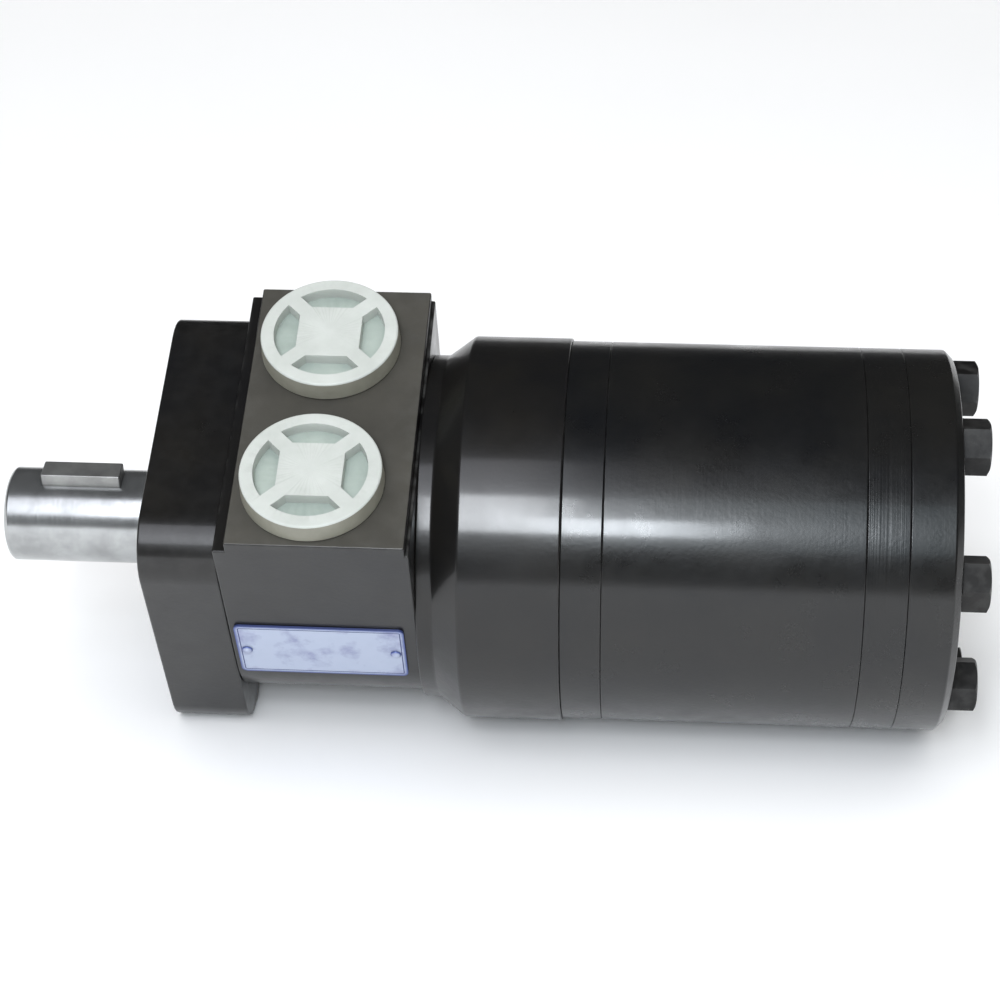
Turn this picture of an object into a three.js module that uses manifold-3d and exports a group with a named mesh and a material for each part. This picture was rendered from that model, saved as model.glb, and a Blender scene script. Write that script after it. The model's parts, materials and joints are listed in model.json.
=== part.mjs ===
// A low-speed, high-torque orbit motor: keyed output shaft with an integral spool valve, square
// face-mount flange, cast housing with two ports on one side, a seven-roller gear set with a
// six-lobed star, and an end cap held by seven through bolts.
//
// Millimetres. In the motor's own axes +X runs along the shaft from the flange face to the rear,
// and +Z is the normal of the port face. Angles about the shaft turn +Z towards -Y.
import * as THREE from 'three';
import { mergeVertices } from 'three/addons/utils/BufferGeometryUtils.js';
import Module from 'manifold-3d';

const wasm = await Module();
wasm.setup();

// ---------------------------------------------------------------- driving dimensions
const inch = 25.4;
const degree = Math.PI / 180;

const restingRoll = 24 * degree; // the roll at which it lies on its barrel and one flange corner
const seatGap = 0.15; // between pieces that sit on each other off the X axis
const runningGap = 0.1;
const overcut = 1; // how far a cutting tool runs past the face it opens

const shaftRadius = inch / 2;
const shaftReach = 45.5; // shaft end to flange face
const shaftChamfer = 1.2;
const journalRadius = 15.9;
const journalFront = 2.6;
const key = { front: -35.6, rear: -14.2, width: 6.35, height: 6.35, angle: -15 * degree };

const flange = { half: 42, corner: 13, thickness: 20.4 };
const pilot = { radius: 22.2, height: 2.8, chamfer: 0.6 };
const mountHole = { count: 4, offset: 29.2, radius: 4.1, depth: 17 };
const flangeScrew = {
  count: 4, circle: 30, radius: 3.05, head: 4.75, headHeight: 6.35, socket: 2.6,
  seat: 7, end: 31, hole: 33, play: 0.3,
};

const dustSeal = { front: -2.6, rear: 0.6, radius: 16 };
const sealPocket = { front: 10.9, radius: 22.1 };
const shaftSeal = { front: 12.4, rear: 19.4 };
const flangeSeal = { radius: 25, section: 0.75, x: 19.6 };

const race = { inner: 16.2, outer: 23, thickness: 1.2 };
const needle = { count: 14, radius: 1.1, inner: 17.7, outer: 22.1 };
const cage = { inner: 17.2, outer: 22.6, thickness: 1 };
const raceBore = { radius: 23.4, rear: 25.6 };

const spool = { radius: 21, rear: 104, bore: 13.6 };
const spoolClearance = 0.2;
const groove = { width: 5, floor: 17.5, front: 34, rear: 56 };
const slot = { count: 6, width: 3.2, floor: 18.4, reach: 11 };
const window = { front: 45, rear: 50, width: 4 };

const block = { top: 44, bottom: -36, corner: 28, rear: 69.5 };
const portPad = { front: 23.6, rear: 68.6, height: 47.3 };
const port = { x: 43.9, spacing: 45, radius: 10.5, floor: 32, passage: 3.4 };
const passageEnd = { y: 12, z: 15 }; // where a port's drilling breaks into its valve groove
const neck = { root: 34, radius: 46, coneFront: 73.5, coneRear: 80.5 };
// The barrel reaches as far from the axis as the flange corner that the motor rests on.
const cornerLean = Math.cos(restingRoll) + Math.sin(restingRoll);
const barrelRadius = (flange.half - flange.corner) * cornerLean + flange.corner;
const housingRear = 106.3;
const feed = { circle: 28, radius: 3 };

const bodyRadius = 50.65;
const spacerRear = 116.8;
const ringRear = 182.3;
const wearPlateRear = 193;
const capRear = 206.3;
const capEdge = 2;
const spacerBore = 16;

const bolt = { count: 7, circle: 40.5, radius: 3.97, hole: 4.4, front: 86, head: 7.33, headHeight: 7.4 };
const boltThreadFloor = 84;
const faceSeal = { inner: 46.4, outer: 48.2, depth: 1.3 };

const roller = { radius: 7, circle: 34.5, pocket: 7.3 };
const eccentricity = 3.2;
const starLobes = 6;
const starClearance = 0.15;
const starSteps = 90;
const starSpacing = 0.65; // how strongly the outline's points gather in the valleys
const landRadius = 34.3;
const starBore = { radius: 13.6, splineFront: 156 };

const splineTeeth = 12;
const driveTooth = { root: 10.6, tip: 12.6, rootWidth: 3, tipWidth: 2 };
const boreTooth = { root: 13.2, tip: 11.2, rootWidth: 3, tipWidth: 3.7 };
const drive = { front: 72, rear: 166, crown: 6, neck: 9.4, nose: 8, chamfer: 2 };
const driveSocket = { front: 62, splineFront: 65.5, splineRear: 78.5 };
const driveSpacer = { front: 175.2, radius: 10.9 };

const checkBall = { radius: 2.6, bore: 3, floor: 34, offset: 31 };
const checkPlug = { radius: 3.4, front: 21, rear: 27.2, socket: 1.8, socketDepth: 3 };
const checkDrilling = 1.3;

const plug = { radius: 18.3, height: 5.8, thread: 10.2, length: 13.5 };
const plugPocket = { boss: 8.2, radius: 14.5, depth: 3.2, rib: 4 };
const plate = { front: 21.8, rear: 66, bottom: -9, top: 12, thickness: 0.6, corner: 1.5 };
const platePin = { radius: 1.4, height: 0.7, inset: 2.6 };

const fine = 48; // sides of the large turned outlines
const medium = 28;
const coarse = 16;
const small = 8;
const hexagon = 6;
const cornerSteps = 6;

// ---------------------------------------------------------------- finishes
const finish = (color, roughness, metalness) => ({ color, roughness, metalness });
const blackPaint = finish(0x1c1c1b, 0.42, 0.1);
const groundSteel = finish(0xb9bcc0, 0.28, 1);
const hardenedSteel = finish(0x8f9399, 0.35, 1);
const blackOxide = finish(0x2a2a2c, 0.5, 0.8);
const castIron = finish(0x5c5d5f, 0.6, 0.9);
const sealRubber = finish(0x222222, 0.75, 0);
const palePlastic = finish(0xdde6dc, 0.5, 0);
const plateAluminium = finish(0xc9d3e6, 0.4, 0.6);

// ---------------------------------------------------------------- solids
function solid(geometry) {
  const bare = geometry.clone();
  bare.deleteAttribute('normal');
  bare.deleteAttribute('uv');
  const merged = mergeVertices(bare);
  const corners = merged.index.array;
  const triangles = [];
  for (let i = 0; i < corners.length; i += 3) {
    const [a, b, c] = corners.slice(i, i + 3);
    if (a !== b && b !== c && c !== a) triangles.push(a, b, c);
  }
  return new wasm.Manifold(new wasm.Mesh({
    numProp: 3,
    vertProperties: new Float32Array(merged.attributes.position.array),
    triVerts: new Uint32Array(triangles),
  }));
}

function geometryOf(body) {
  const mesh = body.getMesh();
  const geometry = new THREE.BufferGeometry();
  geometry.setAttribute('position', new THREE.BufferAttribute(mesh.vertProperties, 3));
  geometry.setIndex(new THREE.BufferAttribute(mesh.triVerts, 1));
  geometry.computeVertexNormals();
  return geometry;
}

const joined = (...pieces) => geometryOf(pieces.map(solid).reduce((sum, piece) => sum.add(piece)));

function cut(piece, ...tools) {
  const left = tools.flat().reduce((rest, tool) => rest.subtract(solid(tool)), solid(piece));
  return geometryOf(left);
}

// A turned piece about the X axis, from [x, radius] points that start and end on the axis or
// go once round a ring's section.
function turned(profile, sides = medium) {
  const points = profile.map(([x, radius]) => new THREE.Vector2(radius, x));
  if (points[0].x > 0) points.push(points[0].clone());
  if (THREE.ShapeUtils.area(points) < 0) points.reverse();
  return new THREE.LatheGeometry(points, sides).rotateZ(-Math.PI / 2);
}

const rod = (radius, front, rear, sides = coarse) =>
  turned([[front, 0], [front, radius], [rear, radius], [rear, 0]], sides);

const ring = (inner, outer, front, rear, sides = medium) =>
  turned([[front, inner], [front, outer], [rear, outer], [rear, inner]], sides);

// A box given by its corners.
function slab(low, high) {
  const size = high.map((value, axis) => value - low[axis]);
  const middle = high.map((value, axis) => (value + low[axis]) / 2);
  return new THREE.BoxGeometry(...size).translate(...middle);
}

// An outline in the YZ plane, drawn out along X.
const alongX = new THREE.Matrix4().makeBasis(
  new THREE.Vector3(0, 1, 0), new THREE.Vector3(0, 0, 1), new THREE.Vector3(1, 0, 0));

function drawn(outline, front, rear, curveSegments = cornerSteps) {
  const options = { depth: rear - front, bevelEnabled: false, curveSegments };
  return new THREE.ExtrudeGeometry(outline, options).applyMatrix4(alongX).translate(front, 0, 0);
}

// A straight drilling between two points.
function drilling(from, to, radius) {
  const start = new THREE.Vector3(...from);
  const way = new THREE.Vector3(...to).sub(start);
  const hole = rod(radius, 0, way.length(), small);
  const turn = new THREE.Quaternion().setFromUnitVectors(new THREE.Vector3(1, 0, 0), way.normalize());
  return hole.applyQuaternion(turn).translate(...from);
}

// Copies of a shape that lies on the +Z side, spread about the X axis.
function spread(count, shape, start = 0) {
  const turnOf = (index) => start + (index * 2 * Math.PI) / count;
  return Array.from({ length: count }, (_, index) => shape().rotateX(turnOf(index)));
}

const boltHoles = (front, rear, radius = bolt.hole) =>
  spread(bolt.count, () => rod(radius, front - overcut, rear + overcut, small).translate(0, 0, bolt.circle));

const feedHoles = (front, rear) =>
  spread(bolt.count, () => rod(feed.radius, front, rear, small).translate(0, 0, feed.circle));

const sealGroove = (front, rear) =>
  ring(faceSeal.inner - seatGap, faceSeal.outer + seatGap, front, rear, coarse);

// ---------------------------------------------------------------- output shaft and its key
// Flat-sided teeth whose roots and tips are either way out, for a shaft or for a bore.
function splineOutline(tooth) {
  const corners = [
    { radius: tooth.root, half: tooth.rootWidth / (2 * tooth.root) },
    { radius: tooth.tip, half: tooth.tipWidth / (2 * tooth.tip) },
  ].flatMap(({ radius, half }) => [[-half, radius], [half, radius]]).sort((a, b) => a[0] - b[0]);
  const pitch = (2 * Math.PI) / splineTeeth;
  const points = Array.from({ length: splineTeeth }, (_, index) => corners.map(([angle, radius]) => (
    new THREE.Vector2(radius, 0).rotateAround(new THREE.Vector2(), index * pitch + angle))));
  return new THREE.Shape(points.flat());
}

function valveSlots() {
  const halfWidth = slot.width / 2;
  const box = (front, rear) => () =>
    slab([front, -halfWidth, slot.floor], [rear, halfWidth, spool.radius + overcut]);
  const frontRear = groove.front + groove.width - overcut;
  const rearFront = groove.rear + overcut;
  return [
    ...spread(slot.count, box(frontRear, frontRear + slot.reach)),
    ...spread(slot.count, box(rearFront - slot.reach, rearFront), Math.PI / slot.count),
  ];
}

function keySeat(gap) {
  const half = key.width / 2 + gap;
  const floor = shaftRadius - key.height / 2 - gap;
  const top = shaftRadius + key.height / 2;
  return slab([key.front - gap, -half, floor], [key.rear + gap, half, top]).rotateX(key.angle);
}

function outputShaft() {
  const shoulder = flange.thickness + 2 * race.thickness + 2 * needle.radius + 2 * runningGap;
  const body = turned([
    [-shaftReach, 0], [-shaftReach, shaftRadius - shaftChamfer], [shaftChamfer - shaftReach, shaftRadius],
    [journalFront, shaftRadius], [journalFront + shaftChamfer, journalRadius],
    [shoulder, journalRadius], [shoulder, spool.radius],
    [groove.front, spool.radius], [groove.front, groove.floor],
    [groove.front + groove.width, groove.floor], [groove.front + groove.width, spool.radius],
    [groove.rear, spool.radius], [groove.rear, groove.floor],
    [groove.rear + groove.width, groove.floor], [groove.rear + groove.width, spool.radius],
    [spool.rear, spool.radius], [spool.rear, spool.bore], [driveSocket.splineRear, spool.bore],
    [driveSocket.splineRear, boreTooth.tip], [driveSocket.front, boreTooth.tip], [driveSocket.front, 0],
  ]);
  const socket = drawn(splineOutline(boreTooth), driveSocket.splineFront, driveSocket.splineRear + overcut);
  return cut(body, socket, keySeat(seatGap), valveSlots());
}

// ---------------------------------------------------------------- flange and shaft seals
function roundedSquare(half, radius) {
  const outline = new THREE.Shape();
  const inner = half - radius;
  outline.absarc(inner, inner, radius, 0, Math.PI / 2);
  outline.absarc(-inner, inner, radius, Math.PI / 2, Math.PI);
  outline.absarc(-inner, -inner, radius, Math.PI, 1.5 * Math.PI);
  outline.absarc(inner, -inner, radius, 1.5 * Math.PI, 2 * Math.PI);
  outline.closePath();
  return outline;
}

function mountingFlange() {
  const square = drawn(roundedSquare(flange.half, flange.corner), 0, flange.thickness);
  const boss = turned([
    [-pilot.height, 0], [-pilot.height, pilot.radius - pilot.chamfer],
    [pilot.chamfer - pilot.height, pilot.radius], [overcut, pilot.radius], [overcut, 0]]);
  const lip = shaftRadius + 4 * runningGap;
  const bore = turned([
    [-pilot.height - overcut, 0], [-pilot.height - overcut, dustSeal.radius + runningGap],
    [dustSeal.rear, dustSeal.radius + runningGap], [dustSeal.rear, lip],
    [journalFront - 2 * runningGap, lip], [journalFront - 2 * runningGap, journalRadius + 4 * runningGap],
    [sealPocket.front, journalRadius + 4 * runningGap], [sealPocket.front, sealPocket.radius],
    [flange.thickness + overcut, sealPocket.radius], [flange.thickness + overcut, 0]]);
  const mountHoles = spread(mountHole.count, () =>
    rod(mountHole.radius, -overcut, mountHole.depth, small).translate(0, mountHole.offset, mountHole.offset));
  const headRoom = flangeScrew.head + flangeScrew.play;
  const shankRoom = flangeScrew.radius + flangeScrew.play;
  const screwHoles = spread(flangeScrew.count, () => turned([
    [-overcut, 0], [-overcut, headRoom], [flangeScrew.seat, headRoom], [flangeScrew.seat, shankRoom],
    [flange.thickness + overcut, shankRoom], [flange.thickness + overcut, 0],
  ], small).translate(0, 0, flangeScrew.circle), Math.PI / flangeScrew.count);
  const half = flangeSeal.section + seatGap;
  const sealRoom = ring(
    flangeSeal.radius - half, flangeSeal.radius + half,
    flangeSeal.x - half, flange.thickness + overcut, coarse);
  return cut(joined(square, boss), bore, mountHoles, screwHoles, sealRoom);
}

function flangeScrewPiece() {
  const { radius, head, headHeight, seat, end } = flangeScrew;
  const top = seat - headHeight;
  const body = turned([[top, 0], [top, head], [seat, head], [seat, radius], [end, radius], [end, 0]], small);
  const socket = rod(flangeScrew.socket, top - overcut, seat - headHeight / 2, hexagon);
  return cut(body, socket);
}

const sealAround = (radius, outer, front, rear) => ring(radius + 2 * runningGap, outer, front, rear);

function flangeSealRing() {
  const { x, radius, section } = flangeSeal;
  const around = (index) => (index * 2 * Math.PI) / hexagon;
  return turned(Array.from({ length: hexagon }, (_, index) => (
    [x + section * Math.cos(around(index)), radius + section * Math.sin(around(index))])), coarse);
}

// ---------------------------------------------------------------- thrust bearing
const frontRaceFace = flange.thickness + race.thickness;
const bearingMiddle = frontRaceFace + runningGap + needle.radius;
const rearRaceFace = bearingMiddle + needle.radius + runningGap;

function thrustBearing() {
  const cageRing = ring(
    cage.inner, cage.outer, bearingMiddle - cage.thickness / 2, bearingMiddle + cage.thickness / 2);
  const oneNeedle = () => rod(needle.radius, needle.inner, needle.outer, hexagon)
    .rotateY(-Math.PI / 2).translate(bearingMiddle, 0, 0);
  return joined(cageRing, ...spread(needle.count, oneNeedle));
}

// ---------------------------------------------------------------- housing
function blockOutline() {
  const outline = new THREE.Shape();
  const shoulder = block.bottom + block.corner;
  const inner = flange.half - block.corner;
  outline.moveTo(flange.half, block.top);
  outline.lineTo(-flange.half, block.top);
  outline.lineTo(-flange.half, shoulder);
  outline.absarc(-inner, shoulder, block.corner, Math.PI, 1.5 * Math.PI);
  outline.lineTo(inner, block.bottom);
  outline.absarc(inner, shoulder, block.corner, 1.5 * Math.PI, 2 * Math.PI);
  outline.closePath();
  return outline;
}

function portTools(side, grooveX) {
  const y = (side * port.spacing) / 2;
  const bore = rod(port.radius, port.floor, portPad.height + overcut, coarse)
    .rotateY(-Math.PI / 2).translate(port.x, y, 0);
  const breakIn = [grooveX, side * passageEnd.y, passageEnd.z];
  return [bore, drilling([port.x, y, port.floor + overcut], breakIn, port.passage)];
}

function checkTools(side, grooveX) {
  const y = side * checkBall.offset;
  const seat = turned([
    [flange.thickness - overcut, 0], [flange.thickness - overcut, checkPlug.radius + 3 * seatGap],
    [checkPlug.rear, checkPlug.radius + 3 * seatGap], [checkPlug.rear, checkBall.bore],
    [checkBall.floor, checkBall.bore], [checkBall.floor, 0]], small).translate(0, y, 0);
  const grooveSide = [grooveX, side * (spool.radius - overcut), 0];
  const leak = drilling([checkBall.floor - overcut, y, 0], grooveSide, checkDrilling);
  return [seat, leak];
}

function housing() {
  const casting = joined(
    drawn(blockOutline(), flange.thickness, block.rear),
    slab([portPad.front, -flange.half, block.top - overcut], [portPad.rear, flange.half, portPad.height]),
    turned([
      [block.rear - overcut, 0], [block.rear - overcut, neck.root], [block.rear, neck.root],
      [block.rear, neck.radius], [neck.coneFront, neck.radius], [neck.coneRear, barrelRadius],
      [housingRear, barrelRadius], [housingRear, 0]], fine));
  const bore = turned([
    [flange.thickness - overcut, 0], [flange.thickness - overcut, raceBore.radius],
    [raceBore.rear, raceBore.radius], [raceBore.rear, spool.radius + spoolClearance],
    [housingRear + overcut, spool.radius + spoolClearance], [housingRear + overcut, 0]]);
  const windows = spread(bolt.count, () => slab(
    [window.front, -window.width / 2, spool.radius - overcut], [window.rear, window.width / 2, feed.circle]));
  const screwHoles = spread(flangeScrew.count, () => rod(
    flangeScrew.radius + flangeScrew.play, flange.thickness - overcut, flangeScrew.hole, small,
  ).translate(0, 0, flangeScrew.circle), Math.PI / flangeScrew.count);
  const frontGroove = groove.front + groove.width / 2;
  const rearGroove = groove.rear + groove.width / 2;
  return cut(
    casting, bore, windows, screwHoles,
    feedHoles(window.front, housingRear + overcut),
    boltHoles(boltThreadFloor + overcut, housingRear),
    sealGroove(housingRear - faceSeal.depth, housingRear + overcut),
    portTools(-1, frontGroove), portTools(1, rearGroove),
    checkTools(-1, frontGroove), checkTools(1, rearGroove));
}

function checkPlugPiece() {
  const { radius, front, rear, socket, socketDepth } = checkPlug;
  return cut(rod(radius, front, rear, small), rod(socket, front - overcut, front + socketDepth, hexagon));
}

function portPlug() {
  const body = turned([
    [0, 0], [0, plug.radius - pilot.chamfer], [pilot.chamfer, plug.radius],
    [plug.height, plug.radius], [plug.height, plug.thread],
    [plug.height + plug.length, plug.thread], [plug.height + plug.length, 0]], coarse);
  const trough = rod(plugPocket.radius, -overcut, plugPocket.depth, coarse);
  const { boss } = plugPocket;
  const half = plugPocket.rib / 2;
  const back = plugPocket.depth + overcut;
  const rib = (turn) => slab([-2 * overcut, -plug.radius, -half], [back, plug.radius, half]).rotateX(turn);
  const pockets = cut(
    trough, slab([-2 * overcut, -boss, -boss], [back, boss, boss]), rib(45 * degree), rib(-45 * degree));
  return cut(body, pockets);
}

// ---------------------------------------------------------------- gear set
function spacerPlate() {
  const disc = ring(spacerBore, bodyRadius, housingRear, spacerRear, fine);
  const feeds = feedHoles(housingRear - overcut, spacerRear + overcut);
  return cut(disc, boltHoles(housingRear, spacerRear), feeds);
}

function gerolerRing() {
  const disc = rod(bodyRadius, spacerRear, ringRear, fine);
  const pockets = spread(bolt.count, () => rod(
    roller.pocket, spacerRear - overcut, ringRear + overcut, coarse,
  ).translate(0, 0, roller.circle), Math.PI / bolt.count);
  return cut(
    disc, rod(landRadius, spacerRear - overcut, ringRear + overcut, 8 * bolt.count), pockets,
    boltHoles(spacerRear, ringRear),
    sealGroove(spacerRear - overcut, spacerRear + faceSeal.depth),
    sealGroove(ringRear - faceSeal.depth, ringRear + overcut));
}

// The star's outline lies a roller's radius inside the path that the roller centres follow
// round it, so that every roller stays in contact, less a running clearance.
function starOutline() {
  const outline = new THREE.Shape();
  const rollers = starLobes + 1;
  const offset = roller.radius + starClearance;
  for (let step = 0; step < starSteps; step += 1) {
    const even = (step * 2 * Math.PI) / starSteps;
    const angle = even + (starSpacing / starLobes) * Math.sin(starLobes * even);
    const path = new THREE.Vector2(
      roller.circle * Math.cos(angle) + eccentricity * Math.cos(rollers * angle),
      roller.circle * Math.sin(angle) + eccentricity * Math.sin(rollers * angle));
    const normal = new THREE.Vector2(
      roller.circle * Math.cos(angle) + rollers * eccentricity * Math.cos(rollers * angle),
      roller.circle * Math.sin(angle) + rollers * eccentricity * Math.sin(rollers * angle)).normalize();
    const point = path.addScaledVector(normal, -offset);
    if (step === 0) outline.moveTo(-point.y, point.x);
    else outline.lineTo(-point.y, point.x);
  }
  outline.closePath();
  return outline;
}

function star() {
  const front = spacerRear + runningGap;
  const rear = ringRear - runningGap;
  const body = drawn(starOutline(), front, rear);
  return cut(
    body,
    rod(starBore.radius, front - overcut, starBore.splineFront, coarse),
    drawn(splineOutline(boreTooth), starBore.splineFront - overcut, rear + overcut));
}

// Built about its own axis, with the middle of its front crown at the origin.
const driveLength = Math.hypot(drive.rear - drive.front, eccentricity);
const driveTilt = Math.asin(eccentricity / driveLength);

function driveShaft() {
  const rearEnd = driveLength + drive.nose;
  const spine = turned([
    [-drive.nose, 0], [-drive.nose, drive.neck - drive.chamfer], [drive.chamfer - drive.nose, drive.neck],
    [rearEnd - drive.chamfer, drive.neck], [rearEnd, drive.neck - drive.chamfer], [rearEnd, 0]], coarse);
  const crown = (middle) => drawn(splineOutline(driveTooth), middle - drive.crown, middle + drive.crown);
  return joined(spine, crown(0), crown(driveLength));
}

// ---------------------------------------------------------------- rear plates and bolts
function wearPlate() {
  return cut(rod(bodyRadius, ringRear, wearPlateRear, fine), boltHoles(ringRear, wearPlateRear));
}

function endCap() {
  const disc = turned([
    [wearPlateRear, 0], [wearPlateRear, bodyRadius], [capRear - capEdge, bodyRadius],
    [capRear, bodyRadius - capEdge], [capRear, 0]], fine);
  return cut(
    disc, boltHoles(wearPlateRear, capRear),
    sealGroove(wearPlateRear - overcut, wearPlateRear + faceSeal.depth));
}

function endBolt() {
  const head = rod(bolt.head, capRear, capRear + bolt.headHeight, hexagon);
  const shank = rod(bolt.radius, bolt.front, capRear + overcut, small);
  return joined(head, shank);
}

const faceSealRing = (front) => ring(
  faceSeal.inner, faceSeal.outer, front, front + faceSeal.depth - seatGap, coarse);

// ---------------------------------------------------------------- nameplate
const plateFace = -flange.half - seatGap;

function nameplate() {
  const outline = new THREE.Shape();
  const { front, rear, bottom, top, corner } = plate;
  outline.absarc(rear - corner, top - corner, corner, 0, Math.PI / 2);
  outline.absarc(front + corner, top - corner, corner, Math.PI / 2, Math.PI);
  outline.absarc(front + corner, bottom + corner, corner, Math.PI, 1.5 * Math.PI);
  outline.absarc(rear - corner, bottom + corner, corner, 1.5 * Math.PI, 2 * Math.PI);
  outline.closePath();
  const options = { depth: plate.thickness, bevelEnabled: false, curveSegments: cornerSteps };
  return new THREE.ExtrudeGeometry(outline, options).rotateX(Math.PI / 2).translate(0, plateFace, 0);
}

const platePinPiece = () => rod(platePin.radius, 0, platePin.height, small).rotateZ(-Math.PI / 2);

// ---------------------------------------------------------------- assembly
const motor = new THREE.Group();
motor.rotation.x = restingRoll;
motor.position.x = shaftReach; // the origin is the middle of the shaft's end face

function add(name, geometry, look, place = {}) {
  const mesh = new THREE.Mesh(geometryOf(solid(geometry)), new THREE.MeshStandardMaterial(look));
  mesh.name = name;
  mesh.position.set(place.x ?? 0, place.y ?? 0, place.z ?? 0);
  mesh.rotation.set(place.roll ?? 0, place.pitch ?? 0, 0);
  motor.add(mesh);
}

// Copies on a circle about the shaft: the piece's own axis moves out along +Z, then turns.
function addAround(name, count, circle, start, geometry, look) {
  for (let index = 0; index < count; index += 1) {
    const angle = start + (index * 2 * Math.PI) / count;
    const place = { y: -circle * Math.sin(angle), z: circle * Math.cos(angle), roll: angle };
    add(`${name}_${index + 1}`, geometry, look, place);
  }
}

const sealBore = sealPocket.radius - runningGap;
add('output_shaft', outputShaft(), groundSteel);
add('shaft_key', keySeat(0), hardenedSteel);
add('mounting_flange', mountingFlange(), blackPaint);
const screwStart = Math.PI / flangeScrew.count;
addAround('flange_screw', flangeScrew.count, flangeScrew.circle, screwStart, flangeScrewPiece(), blackOxide);
add('dust_seal', sealAround(shaftRadius, dustSeal.radius, dustSeal.front, dustSeal.rear), sealRubber);
add('shaft_seal', sealAround(journalRadius, sealBore, shaftSeal.front, shaftSeal.rear), sealRubber);
add('backup_washer', sealAround(journalRadius, sealBore, sealPocket.front, shaftSeal.front), groundSteel);
add('flange_seal', flangeSealRing(), sealRubber);
add('front_thrust_race', ring(race.inner, race.outer, flange.thickness, frontRaceFace), hardenedSteel);
add('thrust_bearing', thrustBearing(), groundSteel);
const rearRace = ring(race.inner, race.outer, rearRaceFace, rearRaceFace + race.thickness);
add('rear_thrust_race', rearRace, hardenedSteel);

add('housing', housing(), blackPaint);
for (const [letter, side] of [['a', -1], ['b', 1]]) {
  const y = (side * port.spacing) / 2;
  const top = portPad.height + seatGap + plug.height;
  add(`port_plug_${letter}`, portPlug(), palePlastic, { x: port.x, y, z: top, pitch: Math.PI / 2 });
  add(`check_plug_${letter}`, checkPlugPiece(), blackOxide, { y: side * checkBall.offset });
  const ball = new THREE.SphereGeometry(checkBall.radius, small, small);
  const ballX = checkPlug.rear + runningGap + checkBall.radius;
  add(`check_ball_${letter}`, ball, groundSteel, { x: ballX, y: side * checkBall.offset });
}
add('nameplate', nameplate(), plateAluminium);
const pinHeight = (plate.bottom + plate.top) / 2;
const pinFace = plateFace - plate.thickness - platePin.height - seatGap;
[plate.front + platePin.inset, plate.rear - platePin.inset].forEach((x, index) => {
  add(`nameplate_pin_${index + 1}`, platePinPiece(), plateAluminium, { x, y: pinFace, z: pinHeight });
});

add('housing_seal', faceSealRing(housingRear - faceSeal.depth + seatGap), sealRubber);
add('spacer_plate', spacerPlate(), blackPaint);
add('ring_front_seal', faceSealRing(spacerRear), sealRubber);
add('geroler_ring', gerolerRing(), blackPaint);
add('ring_rear_seal', faceSealRing(ringRear - faceSeal.depth + seatGap), sealRubber);
add('star', star(), hardenedSteel, { z: eccentricity });
const rollerPiece = rod(roller.radius, spacerRear + runningGap, ringRear - runningGap, coarse);
addAround('roller', bolt.count, roller.circle, Math.PI / bolt.count, rollerPiece, groundSteel);
add('drive_shaft', driveShaft(), hardenedSteel, { x: drive.front, pitch: -driveTilt });
const stop = rod(driveSpacer.radius, driveSpacer.front, ringRear - runningGap, coarse);
add('drive_spacer', stop, castIron, { z: eccentricity });
add('wear_plate', wearPlate(), blackPaint);
add('end_cap_seal', faceSealRing(wearPlateRear), sealRubber);
add('end_cap', endCap(), blackPaint);
addAround('end_bolt', bolt.count, bolt.circle, 0, endBolt(), blackOxide);

export default motor;
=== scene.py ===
"""Looks of the hydraulic motor: fine painted, steel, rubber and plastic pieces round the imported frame.

Pieces are built in millimetres in the motor's own axes. Their origin is on the shaft's axis at the
flange's mounting face, +X runs along the shaft to the rear, and +Z is the normal of the port face.
show() takes each piece into the frame.
"""
import json
import math

import bmesh
import bpy
from mathutils import Matrix, Vector


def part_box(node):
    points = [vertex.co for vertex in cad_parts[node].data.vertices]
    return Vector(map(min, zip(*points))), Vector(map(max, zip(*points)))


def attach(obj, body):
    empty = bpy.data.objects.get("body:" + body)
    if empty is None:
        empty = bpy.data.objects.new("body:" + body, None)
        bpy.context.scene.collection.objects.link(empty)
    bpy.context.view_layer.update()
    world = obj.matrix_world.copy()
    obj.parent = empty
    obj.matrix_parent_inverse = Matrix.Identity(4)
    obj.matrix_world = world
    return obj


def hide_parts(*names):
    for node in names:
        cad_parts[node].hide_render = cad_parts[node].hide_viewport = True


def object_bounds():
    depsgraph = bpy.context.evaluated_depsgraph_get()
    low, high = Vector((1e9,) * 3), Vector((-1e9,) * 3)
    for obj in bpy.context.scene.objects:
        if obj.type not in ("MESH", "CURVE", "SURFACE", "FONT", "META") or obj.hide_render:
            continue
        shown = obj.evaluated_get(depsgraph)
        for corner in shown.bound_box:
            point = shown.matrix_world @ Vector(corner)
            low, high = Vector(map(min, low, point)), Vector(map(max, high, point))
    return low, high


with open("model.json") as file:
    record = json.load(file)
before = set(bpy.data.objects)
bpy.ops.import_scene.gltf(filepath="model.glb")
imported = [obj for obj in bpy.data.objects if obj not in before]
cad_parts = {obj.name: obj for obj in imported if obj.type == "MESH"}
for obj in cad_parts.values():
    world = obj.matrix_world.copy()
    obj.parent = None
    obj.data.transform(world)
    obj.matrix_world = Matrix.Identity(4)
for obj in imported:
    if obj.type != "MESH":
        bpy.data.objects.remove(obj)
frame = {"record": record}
cad_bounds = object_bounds()

mm = 0.001
TURN = 2 * math.pi

# ---------------------------------------------------------------- places read from the frame
FACE = next(m["pos_m"][0] for m in frame["record"]["mounts"] if m["name"] == "flange_face")


def middle(node):
    low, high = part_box(node)
    return (low + high) / 2


def station(node, end=0):
    """How far behind the flange face a node's front (0) or rear (1) lies, in mm."""
    return (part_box(node)[end].x - FACE) / mm


across_ports = middle("port_plug_b") - middle("port_plug_a")
ROLL = math.atan2(across_ports.z, across_ports.y)
rolled = Matrix.Rotation(ROLL, 4, "X")
into_frame = Matrix.Translation((FACE, 0, 0)) @ rolled @ Matrix.Scale(mm, 4)

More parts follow.
